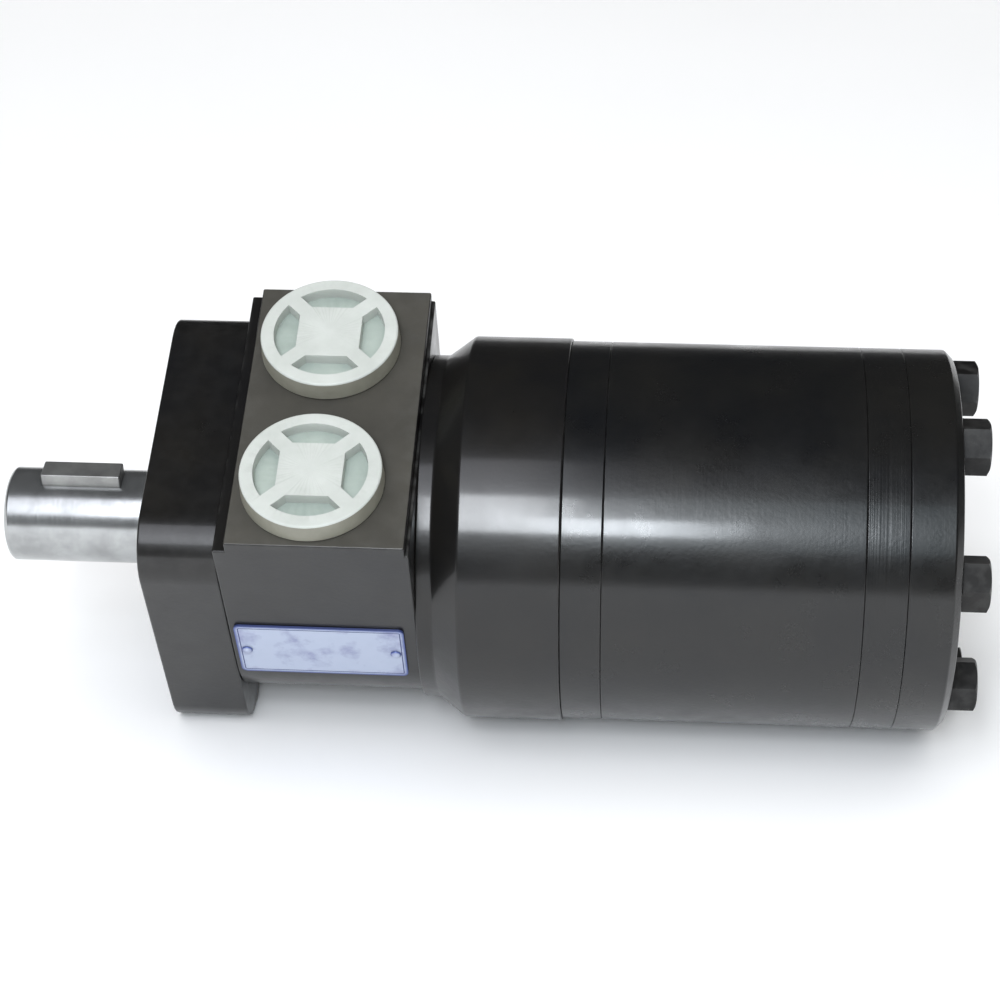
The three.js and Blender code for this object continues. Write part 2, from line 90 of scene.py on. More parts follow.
HOUSING_REAR = station("spacer_plate")
RING_FRONT = station("geroler_ring")
RING_REAR = station("wear_plate")
CAP_FRONT = station("end_cap")
CAP_REAR = station("end_cap", 1)
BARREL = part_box("mounting_flange")[1].z / mm  # radius, as high as the flange's upper corner stands
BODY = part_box("end_cap")[1].z / mm  # radius of the plates behind the barrel

# ---------------------------------------------------------------- driving sizes, as in the part
# Lengths are in mm and round sizes are radii. Stations along X count from the flange's mounting face.
REACH = FACE / mm  # of the shaft in front of the flange
SHAFT = 12.7
JOURNAL = 15.9
SPOOL = 21
SPLINE_RELIEF = 13.6  # plain bore beside the splines of the shaft and of the star
KEY_HALF = 3.175
KEY_FRONT = -35.6
KEY_REAR = -14.2
KEY_FLOOR = SHAFT - KEY_HALF
KEY_TOP = SHAFT + KEY_HALF
KEY_ANGLE = math.radians(-15)

FLANGE_HALF = 42
FLANGE_CORNER = 13
THICKNESS = 20.4
MOUNT_CIRCLE = 29.2 * math.sqrt(2)
SCREW_CIRCLE = 30
SCREW_COUNT = 4
SCREW_HOLE = 3.35
THRUST_BORE = 16.2
THRUST_RIM = 23

BLOCK_CORNER = 28
BLOCK_LOW = -36
BLOCK_REAR = 69.5
SPOOL_BORE = 21.2
PAD_TOP = 47.3
PORT_X = 43.9
PORT_Y = 22.5
PORT_BORE = 10.5
PLUG_HEAD = 5.8  # height of a plug's head
PLUG_GAP = 0.15  # between the pad and a plug's head
CHECK_Y = 31

BOLTS = 7
BOLT_CIRCLE = 40.5
BOLT_HOLE = 4.4
FEED_CIRCLE = 28
FEED_HOLE = 3
GROOVE_INNER = 46.25
GROOVE_OUTER = 48.35
SEAL_DEPTH = 1.3
SEAL_THICKNESS = 1.15

SPACER_BORE = 16
ROLLER_CIRCLE = 34.5
ROLLER = 7
ROLLER_POCKET = 7.3
RING_BORE = 34.3
ORBIT = 3.2  # how far the star's centre lies off the shaft's axis
SIDE_PLAY = 0.1  # between the star or a roller and the plate beside it
DRIVE_FRONT = 72  # the middle of the drive shaft's front spline
DRIVE_LENGTH = 94  # along the shaft's axis, between the middles of the drive shaft's two splines

ROUND = 128  # sides of large turned outlines
FINE = 64
SMALL = 32


# ---------------------------------------------------------------- mesh building
def mesh_object(name, vertices, faces):
    mesh = bpy.data.meshes.new(name)
    mesh.from_pydata([tuple(v) for v in vertices], [], faces)
    shape = bmesh.new()
    shape.from_mesh(mesh)
    bmesh.ops.recalc_face_normals(shape, faces=shape.faces)
    shape.to_mesh(mesh)
    shape.free()
    piece = bpy.data.objects.new(name, mesh)
    bpy.context.collection.objects.link(piece)
    return piece


def turned(profile, sides=ROUND):
    """A solid of revolution about X from (x, radius) points that close on the axis or on themselves."""
    vertices, rows = [], []
    for x, radius in profile:
        first = len(vertices)
        if radius == 0:
            vertices.append((x, 0, 0))
            rows.append([first] * sides)
            continue
        for side in range(sides):
            angle = TURN * side / sides
            vertices.append((x, -radius * math.sin(angle), radius * math.cos(angle)))
        rows.append(list(range(first, first + sides)))
    pairs = list(zip(rows, rows[1:]))
    if profile[0][1] > 0:
        pairs.append((rows[-1], rows[0]))
    faces = []
    for near, far in pairs:
        for side in range(sides):
            after = (side + 1) % sides
            corners = [near[side], near[after], far[after], far[side]]
            faces.append(list(dict.fromkeys(corners)))
    return mesh_object("turned", vertices, [face for face in faces if len(face) > 2])


def rod(radius, front, rear, sides=FINE, edge=0.0):
    """A solid cylinder along X, with its two rims chamfered if an edge is given."""
    if edge:
        profile = [(front, 0), (front, radius - edge), (front + edge, radius),
                   (rear - edge, radius), (rear, radius - edge), (rear, 0)]
    else:
        profile = [(front, 0), (front, radius), (rear, radius), (rear, 0)]
    return turned(profile, sides)


def prism(outline, front, rear):
    """An outline of (y, z) points drawn out along X."""
    count = len(outline)
    vertices = [(x, y, z) for x in (front, rear) for y, z in outline]
    faces = [list(range(count)), list(range(2 * count - 1, count - 1, -1))]
    for index in range(count):
        after = (index + 1) % count
        faces.append([index, after, count + after, count + index])
    return mesh_object("prism", vertices, faces)


def block(low, high):
    (x0, y0, z0), (x1, y1, z1) = low, high
    return prism([(y0, z0), (y1, z0), (y1, z1), (y0, z1)], x0, x1)


def moved(piece, x=0.0, y=0.0, z=0.0, roll=0.0):
    """The piece shifted, then rolled about the shaft."""
    piece.data.transform(Matrix.Rotation(roll, 4, "X") @ Matrix.Translation((x, y, z)))
    return piece


def placed(piece, matrix):
    piece.data.transform(matrix)
    return piece


def stood(piece, x, y=0.0, z=0.0, turn=-TURN / 4):
    """A piece made along +X, turned to point along +Z (along -Z if turn is TURN / 4) and then shifted."""
    return placed(piece, Matrix.Translation((x, y, z)) @ Matrix.Rotation(turn, 4, "Y"))


def around(count, circle, make, start=0.0):
    """Copies of a shape made at the axis, moved out along +Z and spread about the shaft."""
    return [moved(make(), z=circle, roll=start + TURN * index / count) for index in range(count)]


def applied(piece):
    """The piece with its modifiers made real."""
    depsgraph = bpy.context.evaluated_depsgraph_get()
    mesh = bpy.data.meshes.new_from_object(piece.evaluated_get(depsgraph))
    piece.modifiers.clear()
    piece.data = mesh
    return piece


def merged(tools):
    """Several separate shapes as one object."""
    shape = bmesh.new()
    for tool in tools:
        shape.from_mesh(tool.data)
        bpy.data.objects.remove(tool)
    mesh = bpy.data.meshes.new("tools")
    shape.to_mesh(mesh)
    shape.free()
    joined = bpy.data.objects.new("tools", mesh)
    bpy.context.collection.objects.link(joined)
    return joined


def combined(piece, tools, operation):
    tool = merged(tools)
    modifier = piece.modifiers.new("combine", "BOOLEAN")
    modifier.object = tool
    modifier.operation = operation
    modifier.solver = "EXACT"
    applied(piece)
    bpy.data.objects.remove(tool)
    return piece


def cut(piece, *tools):
    """The piece less each group of tools; the tools in one group don't touch each other."""
    for group in tools:
        combined(piece, group if isinstance(group, list) else [group], "DIFFERENCE")
    return piece


def bevelled(piece, width, segments=3, angle=35):
    modifier = piece.modifiers.new("edges", "BEVEL")
    modifier.width = width
    modifier.segments = segments
    modifier.limit_method = "ANGLE"
    modifier.angle_limit = math.radians(angle)
    return applied(piece)


def arc(centre, radius, start, end, steps=8):
    """Points of an arc in degrees."""
    points = []
    for step in range(steps + 1):
        angle = math.radians(start + (end - start) * step / steps)
        points.append((centre[0] + radius * math.cos(angle), centre[1] + radius * math.sin(angle)))
    return points


def rounded_square(half, corner, steps=8):
    inner = half - corner
    centres = [(inner, inner), (-inner, inner), (-inner, -inner), (inner, -inner)]
    return [point for quarter, centre in enumerate(centres)
            for point in arc(centre, corner, 90 * quarter, 90 * quarter + 90, steps)]


def show(piece, name, material, body, slot, *nodes, sharp=32):
    """Rolls a finished piece into the frame, gives it its looks and lets it ride on its body."""
    piece.name = name
    piece.data.name = name
    piece.data.transform(into_frame)
    if not piece.data.materials:
        piece.data.materials.append(material)
    piece.data.shade_smooth()
    piece.data.set_sharp_from_angle(angle=math.radians(sharp))
    flats = piece.modifiers.new("flat faces stay flat", "WEIGHTED_NORMAL")
    flats.keep_sharp = True
    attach(piece, body)
    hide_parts(*nodes)


# ---------------------------------------------------------------- materials
class Shader:
    """A material's node tree with short calls for what the finishes below need."""

    def __init__(self, name):
        self.material = bpy.data.materials.new(name)
        self.material.use_nodes = True
        self.nodes = self.material.node_tree.nodes
        self.links = self.material.node_tree.links
        self.surface = self.nodes["Principled BSDF"]
        self.place = self.nodes.new("ShaderNodeTexCoord").outputs["Object"]

    def set(self, **values):
        for name, value in values.items():
            self.surface.inputs[name.replace("_", " ")].default_value = value

    def link(self, output, input_name):
        self.links.new(output, self.surface.inputs[input_name])

    def noise(self, scale, detail=3.0, roughness=0.5, at=None):
        node = self.nodes.new("ShaderNodeTexNoise")
        node.inputs["Scale"].default_value = scale
        node.inputs["Detail"].default_value = detail
        node.inputs["Roughness"].default_value = roughness
        self.links.new(at or self.place, node.inputs["Vector"])
        return node.outputs["Fac"]

    def ramp(self, factor, *stops):
        """Maps a factor through (position, colour) stops."""
        node = self.nodes.new("ShaderNodeValToRGB")
        self.links.new(factor, node.inputs["Fac"])
        elements = node.color_ramp.elements
        while len(elements) < len(stops):
            elements.new(0.5)
        for element, (position, colour) in zip(elements, stops):
            element.position = position
            element.color = (*colour, 1.0)
        return node.outputs["Color"]

    def span(self, factor, low, high, start=0.0, end=1.0):
        """Maps a factor from start..end to low..high."""
        node = self.nodes.new("ShaderNodeMapRange")
        self.links.new(factor, node.inputs["Value"])
        ends = (("From Min", start), ("From Max", end), ("To Min", low), ("To Max", high))
        for name, value in ends:
            node.inputs[name].default_value = value
        return node.outputs["Result"]

    def math(self, operation, *terms):
        node = self.nodes.new("ShaderNodeMath")
        node.operation = operation
        for slot, term in zip(node.inputs, terms):
            if isinstance(term, (int, float)):
                slot.default_value = term
            else:
                self.links.new(term, slot)
        return node.outputs["Value"]

    def mix(self, factor, first, second):
        node = self.nodes.new("ShaderNodeMix")
        node.data_type = "RGBA"
        self.links.new(factor, node.inputs["Factor"])
        for name, colour in (("A", first), ("B", second)):
            slot = [s for s in node.inputs if s.name == name and s.type == "RGBA"][0]
            if isinstance(colour, tuple):
                slot.default_value = (*colour, 1.0)
            else:
                self.links.new(colour, slot)
        return [s for s in node.outputs if s.type == "RGBA"][0]

    def bump(self, height, strength, distance, over=None):
        node = self.nodes.new("ShaderNodeBump")
        node.inputs["Strength"].default_value = strength
        node.inputs["Distance"].default_value = distance
        self.links.new(height, node.inputs["Height"])
        if over is not None:
            self.links.new(over, node.inputs["Normal"])
        self.links.new(node.outputs["Normal"], self.surface.inputs["Normal"])
        return node.outputs["Normal"]

    def parts(self):
        """The X, Y and Z of a point."""
        node = self.nodes.new("ShaderNodeSeparateXYZ")
        self.links.new(self.place, node.inputs["Vector"])
        return node.outputs

    def along_and_out(self):
        """A point's place along the shaft and its distance from it, as a vector for turned marks."""
        parts = self.parts()
        squares = [self.math("MULTIPLY", parts[axis], parts[axis]) for axis in ("Y", "Z")]
        radius = self.math("SQRT", self.math("ADD", *squares))
        node = self.nodes.new("ShaderNodeCombineXYZ")
        self.links.new(parts["X"], node.inputs["X"])
        self.links.new(radius, node.inputs["Y"])
        return node.outputs["Vector"]

    def pointed(self, sharpest):
        """0 on flat faces, rising on convex edges to 1 where pointiness reaches the sharpest."""
        pointiness = self.nodes.new("ShaderNodeNewGeometry").outputs["Pointiness"]
        return self.span(pointiness, 0.0, 1.0, 0.53, sharpest)

    def worn_edges(self):
        """Convex edges broken up by noise."""
        return self.math("MULTIPLY", self.pointed(0.62), self.span(self.noise(260, 4), 0.0, 1.0, 0.42, 0.62))


WORN_METAL = (0.16, 0.16, 0.155)


def paint(name, base, tint, roughness, turned_marks=0.0, coat=0.42, wear=0.25):
    """Enamel blotched between two shades, with orange peel, worn edges and turning marks if asked for."""
    shader = Shader(name)
    shader.set(Metallic=0.0, Coat_Weight=coat, Coat_Roughness=0.13, IOR=1.5, Specular_IOR_Level=0.34)
    shade = shader.ramp(shader.noise(34, 5, 0.6), (0.3, base), (0.72, tint))
    worn = shader.math("MULTIPLY", shader.worn_edges(), wear)
    shader.link(shader.mix(worn, shade, WORN_METAL), "Base Color")
    smear = shader.noise(75, 6, 0.65)
    shader.link(shader.span(smear, roughness - 0.07, roughness + 0.10, 0.3, 0.7), "Roughness")
    peel = shader.bump(shader.noise(950, 2, 0.5), 0.10, 0.25 * mm)
    if turned_marks:
        marks = shader.noise(900, 3, 0.7, at=shader.along_and_out())
        shader.bump(marks, turned_marks, 0.2 * mm, over=peel)
    return shader.material


def steel(name, base, roughness, marks=0.25, scale=1500, metallic=1.0):
    """Ground or turned steel with fine marks round the shaft and slight staining."""
    shader = Shader(name)
    shader.set(Metallic=metallic)
    turned_marks = shader.noise(scale, 4, 0.75, at=shader.along_and_out())
    stain = shader.noise(120, 4, 0.6)
    dark = tuple(value * 0.72 for value in base)
    shader.link(shader.ramp(stain, (0.35, dark), (0.62, base)), "Base Color")
    rough = shader.math("ADD", shader.span(turned_marks, -0.04, 0.06, 0.3, 0.7), roughness)
    shader.link(rough, "Roughness")
    shader.bump(turned_marks, marks, 0.08 * mm)
    return shader.material


def rubber(name):
    """Matt black rubber, slightly mottled and finely pitted."""
    shader = Shader(name)
    shade = shader.ramp(shader.noise(180, 4), (0.3, (0.012, 0.012, 0.012)), (0.7, (0.028, 0.027, 0.026)))
    shader.link(shade, "Base Color")
    shader.link(shader.span(shader.noise(420, 3), 0.5, 0.72, 0.3, 0.7), "Roughness")
    shader.bump(shader.noise(2400, 2), 0.15, 0.1 * mm)
    return shader.material


def plastic(name, dull, bright):
    """Moulded polyethylene between two shades, slightly waxy, with faint flow marks."""
    shader = Shader(name)
    shader.set(Subsurface_Weight=0.12, Subsurface_Radius=(0.004, 0.005, 0.004), Subsurface_Scale=1.0,
               IOR=1.46)
    flow = shader.noise(95, 5, 0.6)
    shader.link(shader.ramp(flow, (0.3, dull), (0.7, bright)), "Base Color")
    shader.link(shader.span(shader.noise(210, 4), 0.36, 0.52, 0.3, 0.7), "Roughness")
    shader.bump(shader.noise(700, 3), 0.12, 0.2 * mm)
    return shader.material


def plate_metal(name):
    """Pale anodised sheet with lavender smudges and a dark blue edge, without lettering."""
    shader = Shader(name)
    shader.set(Metallic=0.25)
    smudge = shader.span(shader.noise(130, 4, 0.6), 0.0, 1.0, 0.50, 0.68)
    pale = shader.mix(smudge, (0.42, 0.47, 0.59), (0.27, 0.29, 0.44))
    shader.link(shader.mix(shader.pointed(0.58), pale, (0.07, 0.10, 0.28)), "Base Color")
    shader.link(shader.span(shader.noise(300, 4), 0.3, 0.5, 0.3, 0.7), "Roughness")
    shader.bump(shader.noise(800, 3), 0.08, 0.1 * mm)
    return shader.material


BLUE_BLACK = ((0.0045, 0.0048, 0.0055), (0.0100, 0.0095, 0.0085))
black_paint = paint("black_paint", (0.0050, 0.0050, 0.0055), (0.0105, 0.0095, 0.0080), 0.34)
turned_paint = paint("turned_paint", *BLUE_BLACK, 0.30, turned_marks=0.07)
rear_paint = paint("rear_paint", *BLUE_BLACK, 0.28, turned_marks=0.45)
pad_paint = paint("pad_paint", (0.043, 0.041, 0.035), (0.068, 0.064, 0.054), 0.42, coat=0.2)
bolt_finish = paint("bolt_finish", (0.0050, 0.0050, 0.0055), (0.010, 0.009, 0.008), 0.5, coat=0.0,
                    wear=0.2)
shaft_steel = steel("shaft_steel", (0.47, 0.48, 0.48), 0.22, marks=0.025, metallic=0.88)
key_steel = steel("key_steel", (0.38, 0.38, 0.37), 0.36, marks=0.05, scale=900, metallic=0.8)
hard_steel = steel("hard_steel", (0.52, 0.53, 0.55), 0.28, marks=0.12)
spacer_iron = steel("spacer_iron", (0.22, 0.22, 0.22), 0.5, marks=0.2)
seal_rubber = rubber("seal_rubber")
pale_plastic = plastic("pale_plastic", (0.425, 0.445, 0.415), (0.495, 0.515, 0.485))
# Plug pocket floors: a darker copy of the plastic, as painted shade in the recesses.
plastic_recess_painted_shade = plastic("plastic_recess_painted_shade", (0.28, 0.33, 0.30), (0.36, 0.41, 0.37))
# Plug side walls: a darker, beige-tinted copy of the plastic, as painted shade on the sides turned away from
# the lamps.
plastic_side_painted_shade = plastic("plastic_side_painted_shade", (0.185, 0.180, 0.145), (0.250, 0.245, 0.200))
plate_finish = plate_metal("plate_finish")
plate_edge = paint("plate_edge", (0.030, 0.045, 0.13), (0.045, 0.060, 0.17), 0.4, wear=0.0)


# ---------------------------------------------------------------- camera, floor and light
# The camera looks at the ports and the nameplate from above. Its angles are in the motor's axes.
CAMERA_RISE = math.radians(53.43)  # from the nameplate's normal towards the port face's
CAMERA_SWING = math.radians(4.01)  # towards the rear
CAMERA_TILT = math.radians(1.63)  # about its own line of sight
CAMERA_DISTANCE = 670 * mm
CAMERA_LENS = 89.3
AIM_BEHIND_FACE = 87.5 * mm
AIM_UP = 7.3 * mm

FLOOR_HALF = 6
WALL_RADIUS = 5.5
WALL_TOP = 2.8
SOFTBOX_DISTANCE = 1.15


def add_camera():
    shaft_way = Vector((1, 0, 0))
    level_up = Vector((0, math.sin(CAMERA_RISE), math.cos(CAMERA_RISE)))
    level_back = Vector((0, -math.cos(CAMERA_RISE), math.sin(CAMERA_RISE)))
    back = math.cos(CAMERA_SWING) * level_back + math.sin(CAMERA_SWING) * shaft_way
    right = math.cos(CAMERA_SWING) * shaft_way - math.sin(CAMERA_SWING) * level_back
    across = math.cos(CAMERA_TILT) * right + math.sin(CAMERA_TILT) * level_up
    up = math.cos(CAMERA_TILT) * level_up - math.sin(CAMERA_TILT) * right
    aim = (FACE + AIM_BEHIND_FACE) * shaft_way + AIM_UP * level_up
    place = Matrix((across, up, back)).transposed().to_4x4()
    place.translation = aim + CAMERA_DISTANCE * back
    camera = bpy.data.objects.new("camera", bpy.data.cameras.new("camera"))
    camera.data.lens = CAMERA_LENS
    camera.data.sensor_width = 36
    camera.data.clip_start = 0.01
    camera.matrix_world = rolled @ place
    bpy.context.collection.objects.link(camera)
    bpy.context.scene.camera = camera


def add_floor():
    """A pale floor, and a pale wall all round that shows in no reflection."""
    low = cad_bounds[0][2]
    square = [(-FLOOR_HALF, -FLOOR_HALF), (FLOOR_HALF, -FLOOR_HALF), (FLOOR_HALF, FLOOR_HALF),
              (-FLOOR_HALF, FLOOR_HALF)]
    floor = mesh_object("floor", [(x, y, low) for x, y in square], [[0, 1, 2, 3]])
    rim = [(WALL_RADIUS * math.cos(TURN * k / FINE), WALL_RADIUS * math.sin(TURN * k / FINE))
           for k in range(FINE)]
    wall = mesh_object("wall", [(x, y, z) for z in (low, WALL_TOP) for x, y in rim],
                       [[k, (k + 1) % FINE, FINE + (k + 1) % FINE, FINE + k] for k in range(FINE)])
    wall.visible_glossy = False
    shader = Shader("floor_finish")
    shader.set(Roughness=0.9, Specular_IOR_Level=0.1)
    shade = shader.ramp(shader.noise(3, 2), (0.3, (0.93, 0.93, 0.93)), (0.7, (0.96, 0.96, 0.96)))
    shader.link(shade, "Base Color")
    for piece in (floor, wall):
        piece.data.materials.append(shader.material)


def add_light(name, place, aim, size, power, colour=(1, 1, 1), seen_in_gloss=True):
    light = bpy.data.lights.new(name, "AREA")
    light.shape = "RECTANGLE"
    light.size, light.size_y = size
    light.energy = power
    light.color = colour
    lamp = bpy.data.objects.new(name, light)
    lamp.location = place
    lamp.rotation_euler = (Vector(aim) - Vector(place)).to_track_quat("-Z", "Y").to_euler()
    lamp.visible_glossy = seen_in_gloss
    bpy.context.collection.objects.link(lamp)


def softbox(name, front, rear, low, high, radiance, colour):
    """A panel along the shaft, from low to high degrees above the camera's direction.

    Its ends, front and rear, are stations in mm behind the flange face.
    """
    back = bpy.context.scene.camera.matrix_world.to_3x3() @ Vector((0, 0, 1))
    way = Vector((0, back.y, back.z)).normalized()
    way = Matrix.Rotation(-math.radians((low + high) / 2), 3, "X") @ way
    height = 2 * SOFTBOX_DISTANCE * math.tan(math.radians((high - low) / 2))
    size = ((rear - front) * mm, height)
    aim = Vector((FACE + (front + rear) / 2 * mm, 0, 0))
    power = radiance * math.pi * size[0] * size[1]
    add_light(name, aim + way * SOFTBOX_DISTANCE, aim, size, power, colour)


def add_studio():
    """A broad overhead panel that shows in no reflection, and softboxes for the long highlight."""
    add_light("overhead", (0.1, -0.3, 3.0), (0.1, -0.3, 0), (6.0, 6.0), 158, seen_in_gloss=False)
    softbox("bright", -68, 52, -2.4, 18.5, 27, (0.92, 0.96, 1.0))
    softbox("streak", 52, 152, -2.4, 6.6, 40, (0.88, 0.94, 1.0))
    softbox("broad", -350, 52, -2.4, 40, 3.7, (0.90, 0.92, 1.0))
    softbox("faint", 52, 420, -9, 20, 1.2, (0.75, 0.92, 1.0))
    world = bpy.data.worlds.new("room")
    world.use_nodes = True
    world.node_tree.nodes["Background"].inputs["Color"].default_value = (0.9, 0.95, 1.0, 1)
    world.node_tree.nodes["Background"].inputs["Strength"].default_value = 0.03
    bpy.context.scene.world = world
    bpy.context.scene.view_settings.view_transform = "Standard"


# ---------------------------------------------------------------- shaft, key and flange
def spline(root, root_width, tip, tip_width, teeth=12):
    """Points of a toothed outline from radii and tooth widths."""
    stations = sorted((side * width / (2 * radius), radius)
                      for radius, width in ((root, root_width), (tip, tip_width)) for side in (-1, 1))
    points = []
    for tooth in range(teeth):
        for lean, radius in stations:
            angle = TURN * tooth / teeth + lean
            points.append((radius * math.cos(angle), radius * math.sin(angle)))
    return points


BORE_SPLINE = spline(13.2, 3, 11.2, 3.7)
DRIVE_SPLINE = spline(10.6, 3, 12.6, 2)


def output_shaft():
    """The keyed shaft with its grooved and slotted spool and the splined bore for the drive shaft."""
    body = turned([
        (-REACH, 0), (-REACH, SHAFT - 1.5), (0.5 - REACH, SHAFT - 0.5), (1.2 - REACH, SHAFT),
        (2.6, SHAFT), (3.8, JOURNAL), (25.2, JOURNAL), (25.2, SPOOL - 0.4), (25.6, SPOOL),
        (34, SPOOL), (34, 17.5), (39, 17.5), (39, SPOOL), (56, SPOOL), (56, 17.5), (61, 17.5), (61, SPOOL),
        (103.6, SPOOL), (104, SPOOL - 0.4), (104, 14.2), (103.4, SPLINE_RELIEF), (78.5, SPLINE_RELIEF),
        (78.5, 11.2), (62, 11.2), (62, 0)])
    seat = moved(block((KEY_FRONT - 0.1, -KEY_HALF - 0.1, KEY_FLOOR - 0.15),
                       (KEY_REAR + 0.1, KEY_HALF + 0.1, KEY_TOP)), roll=KEY_ANGLE)
    slots = around(6, 0, lambda: block((38, -1.6, 18.4), (49, 1.6, 22)))
    slots += around(6, 0, lambda: block((46, -1.6, 18.4), (57, 1.6, 22)), start=TURN / 12)
    cut(body, seat, slots, prism(BORE_SPLINE, 65.5, 79))
    show(body, "shaft_body", shaft_steel, "shaft", "ground_steel", "output_shaft")


def shaft_key():
    key = block((KEY_FRONT, -KEY_HALF, KEY_FLOOR), (KEY_REAR, KEY_HALF, KEY_TOP))
    key = bevelled(moved(key, roll=KEY_ANGLE), 0.35)
    show(key, "key_bar", key_steel, "shaft", "key_steel", "shaft_key")


def mounting_flange():
    """The square flange with its pilot, stepped bore, mounting holes and counterbored screw holes."""
    body = bevelled(prism(rounded_square(FLANGE_HALF, FLANGE_CORNER), 0, THICKNESS), 0.6)
    pilot = turned([(-2.8, 0), (-2.8, 21.6), (-2.2, 22.2), (2, 22.2), (2, 0)])
    combined(body, [pilot], "UNION")
    bore = turned([
        (-4, 0), (-4, 17.4), (-2.8, 16.6), (-2.3, 16.1), (0.6, 16.1), (0.6, 13.1), (2.4, 13.1),
        (2.4, 16.3), (10.9, 16.3), (10.9, 22.1), (22, 22.1), (22, 0)])
    mount_holes = around(4, MOUNT_CIRCLE, lambda: turned(
        [(-1, 0), (-1, 5.5), (0.9, 4.1), (17, 4.1), (18.6, 0)], SMALL), start=TURN / 8)
    screw_holes = around(SCREW_COUNT, SCREW_CIRCLE, lambda: turned([
        (-1, 0), (-1, 6.1), (0.4, 5.05), (7, 5.05), (7, SCREW_HOLE), (22, SCREW_HOLE), (22, 0)
    ], SMALL), start=TURN / 8)
    seal_room = turned([(18.7, 24.1), (18.7, 25.9), (22, 25.9), (22, 24.1)])
    cut(body, bore, mount_holes, screw_holes, seal_room)
    show(body, "flange_body", black_paint, "motor_body", "black_paint", "mounting_flange")


def flange_screw():
    """A socket-head cap screw."""
    head = turned([(0.65, 0), (0.65, 4.75), (7, 4.75), (7, 3.05), (31, 3.05), (31, 0)], SMALL)
    socket = turned([(0, 0), (0, 3.3), (0.95, 2.6), (3.8, 2.6), (3.8, 0)], 6)
    return cut(bevelled(head, 0.35), socket)


def flange_screws():
    screws = around(SCREW_COUNT, SCREW_CIRCLE, flange_screw, start=TURN / 8)
    for index, screw in enumerate(screws, 1):
        show(screw, f"cap_screw_{index}", bolt_finish, "motor_body", "black_fastener",
             f"flange_screw_{index}")


def washer(inner, outer, front, rear, edge=0.2):
    return bevelled(turned([(front, inner), (front, outer), (rear, outer), (rear, inner)]), edge)


def shaft_seals():
    """The wiper at the pilot, the lip seal with the washer before it, and the flange's own ring."""
    dust = turned([
        (-2.6, 15.9), (0.5, 15.9), (0.5, 13.2), (-0.6, 12.95), (-1.6, 12.9), (-2.2, 13.6), (-2.6, 14.6)])
    show(dust, "dust_wiper", seal_rubber, "motor_body", "seal_rubber", "dust_seal")
    lip = turned([
        (12.4, 16.2), (12.4, 21.9), (19.2, 21.9), (19.2, 20.4), (14.4, 20.2), (14.4, 17.6),
        (18.6, 17.2), (18.9, 16.4), (16.2, 16.1)])
    show(bevelled(lip, 0.2), "seal_lip", seal_rubber, "motor_body", "seal_rubber", "shaft_seal")
    backing = washer(16.1, 22, 10.95, 12.35)
    show(backing, "seal_washer", hard_steel, "motor_body", "hard_steel", "backup_washer")
    section = [(19.6 + 0.75 * math.cos(TURN * k / 16), 25 + 0.75 * math.sin(TURN * k / 16))
               for k in range(16)]
    show(turned(section), "flange_ring", seal_rubber, "motor_body", "seal_rubber", "flange_seal", sharp=60)


def needle():
    """One needle roller, lying across the shaft along +Z."""
    return stood(rod(1.1, 17.7, 22.1, 24, 0.15), 22.8)


def thrust_bearing():
    """A needle cage between a race that stays still and a race that turns with the shaft."""
    race = washer(THRUST_BORE, THRUST_RIM, 20.42, 21.6)
    show(race, "race_front", hard_steel, "motor_body", "hard_steel", "front_thrust_race")
    race = washer(THRUST_BORE, THRUST_RIM, 24.0, 25.18)
    show(race, "race_rear", hard_steel, "shaft", "hard_steel", "rear_thrust_race")
    cage = combined(washer(17.2, 22.6, 22.3, 23.3, 0.1), around(14, 0, needle), "UNION")
    show(cage, "needle_cage", hard_steel, "thrust_cage", "hard_steel", "thrust_bearing")


# ---------------------------------------------------------------- housing, plugs and nameplate
def block_outline(top):
    """The block's section: flat at the top and sides, round at both lower corners."""
    inner = FLANGE_HALF - BLOCK_CORNER
    shoulder = BLOCK_LOW + BLOCK_CORNER
    return ([(FLANGE_HALF, top), (-FLANGE_HALF, top)]
            + arc((-inner, shoulder), BLOCK_CORNER, 180, 270, 24)
            + arc((inner, shoulder), BLOCK_CORNER, 270, 360, 24))


def bolt_holes(front, rear):
    return around(BOLTS, BOLT_CIRCLE, lambda: rod(BOLT_HOLE, front, rear, SMALL))


def feed_holes(front, rear):
    return around(BOLTS, FEED_CIRCLE, lambda: rod(FEED_HOLE, front, rear, SMALL))


def seal_groove(front, rear):
    return turned([
        (front, GROOVE_INNER), (front, GROOVE_OUTER), (rear, GROOVE_OUTER), (rear, GROOVE_INNER)])


def check_bore(side):
    """A check valve's drilling, which opens at the housing's front."""
    front = THICKNESS - 1
    profile = [(front, 0), (front, 3.85), (27.2, 3.85), (27.2, 3), (34, 3), (34, 0)]
    return moved(turned(profile, SMALL), y=side * CHECK_Y)


def port(side):
    return stood(rod(PORT_BORE, 32, 50, FINE), PORT_X, side * PORT_Y)


